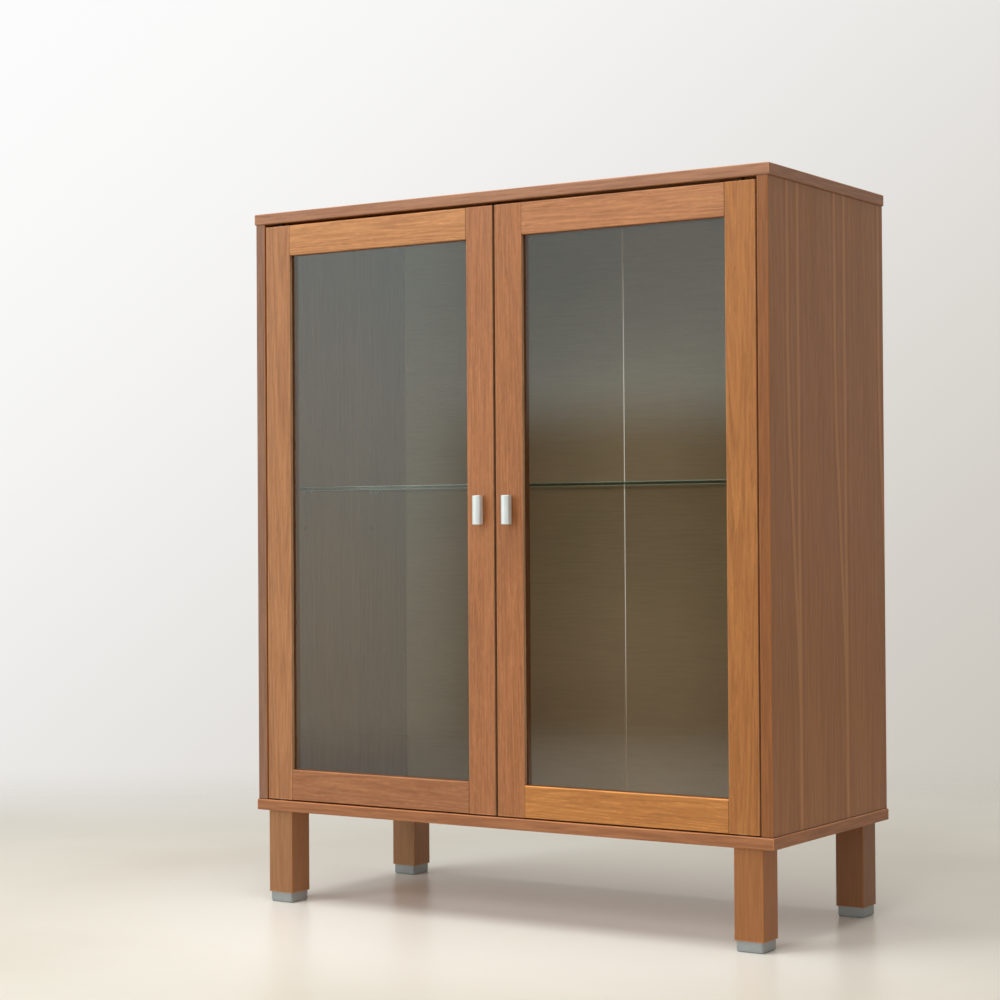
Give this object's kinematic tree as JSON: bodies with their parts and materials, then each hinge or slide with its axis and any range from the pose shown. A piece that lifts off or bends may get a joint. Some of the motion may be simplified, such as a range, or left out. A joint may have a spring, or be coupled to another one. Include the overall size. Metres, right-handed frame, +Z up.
{
  "type": "display cabinet",
  "caption": "Low wooden display cabinet on square legs, with a pair of framed smoked-glass doors on pivots, small bar pulls and a glass shelf inside.",
  "frame": {"origin": "on the floor, at the middle of the box round the whole cabinet, handles included", "axes": "+Z up, +X to the right seen from the front, +Y to the back"},
  "size_m": [0.8, 0.3544, 0.96],
  "materials": {
    "cherry_veneer": "satin lacquered veneer",
    "cherry_frame": "satin lacquered solid wood",
    "cherry_leg": "satin lacquered solid wood",
    "back_board": "printed thin board, matt",
    "beech_dowel": "plain beech",
    "smoked_glass": "smoked float glass, polished",
    "clear_glass": "clear float glass with ground edges",
    "satin_aluminium": "satin anodised",
    "grey_cap": "silver-grey moulded plastic",
    "zinc_steel": "zinc plated",
    "nickel": "nickel plated",
    "brass": "turned brass",
    "browned_steel": "browned, oiled",
    "brown_nylon": "dark brown moulded nylon",
    "magnet": "ferrite between steel poles"
  },
  "bodies": {
    "carcass": {"top_panel": "cherry_veneer", "bottom_panel": "cherry_veneer", "left_side_panel": "cherry_veneer", "right_side_panel": "cherry_veneer", "left_back_board": "back_board", "right_back_board": "back_board", "back_screws": "zinc_steel", "carcass_dowels": "beech_dowel", "glass_shelf": "clear_glass", "shelf_pins": "nickel", "leg_bolts": "zinc_steel", "leg_insert_nuts": "brass", "leg_dowels": "beech_dowel", "catch_housing": "brown_nylon", "catch_magnets": "magnet", "catch_screws": "zinc_steel", "left_top_bush": "brown_nylon", "left_bottom_pivot_pin": "browned_steel", "left_pivot_washer": "brown_nylon", "front_left_leg": "cherry_leg", "front_left_foot_cap": "grey_cap", "rear_left_leg": "cherry_leg", "rear_left_foot_cap": "grey_cap", "right_top_bush": "brown_nylon", "right_bottom_pivot_pin": "browned_steel", "right_pivot_washer": "brown_nylon", "front_right_leg": "cherry_leg", "front_right_foot_cap": "grey_cap", "rear_right_leg": "cherry_leg", "rear_right_foot_cap": "grey_cap"},
    "left_door": {"left_hinge_stile": "cherry_frame", "left_meeting_stile": "cherry_frame", "left_top_rail": "cherry_frame", "left_bottom_rail": "cherry_frame", "left_rail_dowels": "beech_dowel", "left_glass": "smoked_glass", "left_glazing_beads": "cherry_frame", "left_handle": "satin_aluminium", "left_handle_screws": "zinc_steel", "left_strike_plate": "zinc_steel", "left_strike_screw": "zinc_steel", "left_top_pivot_pin": "browned_steel", "left_bottom_bush": "brown_nylon"},
    "right_door": {"right_hinge_stile": "cherry_frame", "right_meeting_stile": "cherry_frame", "right_top_rail": "cherry_frame", "right_bottom_rail": "cherry_frame", "right_rail_dowels": "beech_dowel", "right_glass": "smoked_glass", "right_glazing_beads": "cherry_frame", "right_handle": "satin_aluminium", "right_handle_screws": "zinc_steel", "right_strike_plate": "zinc_steel", "right_strike_screw": "zinc_steel", "right_top_pivot_pin": "browned_steel", "right_bottom_bush": "brown_nylon"}
  },
  "joints": [
    {"name": "left_door_hinge", "type": "hinge", "parent": "carcass", "child": "left_door", "pos_m": [-0.3585, -0.15525, 0.5], "axis": [0, 0, -1], "range_deg": [0, 135]},
    {"name": "right_door_hinge", "type": "hinge", "parent": "carcass", "child": "right_door", "pos_m": [0.3585, -0.15525, 0.5], "axis": [0, 0, 1], "range_deg": [0, 135]}
  ]
}
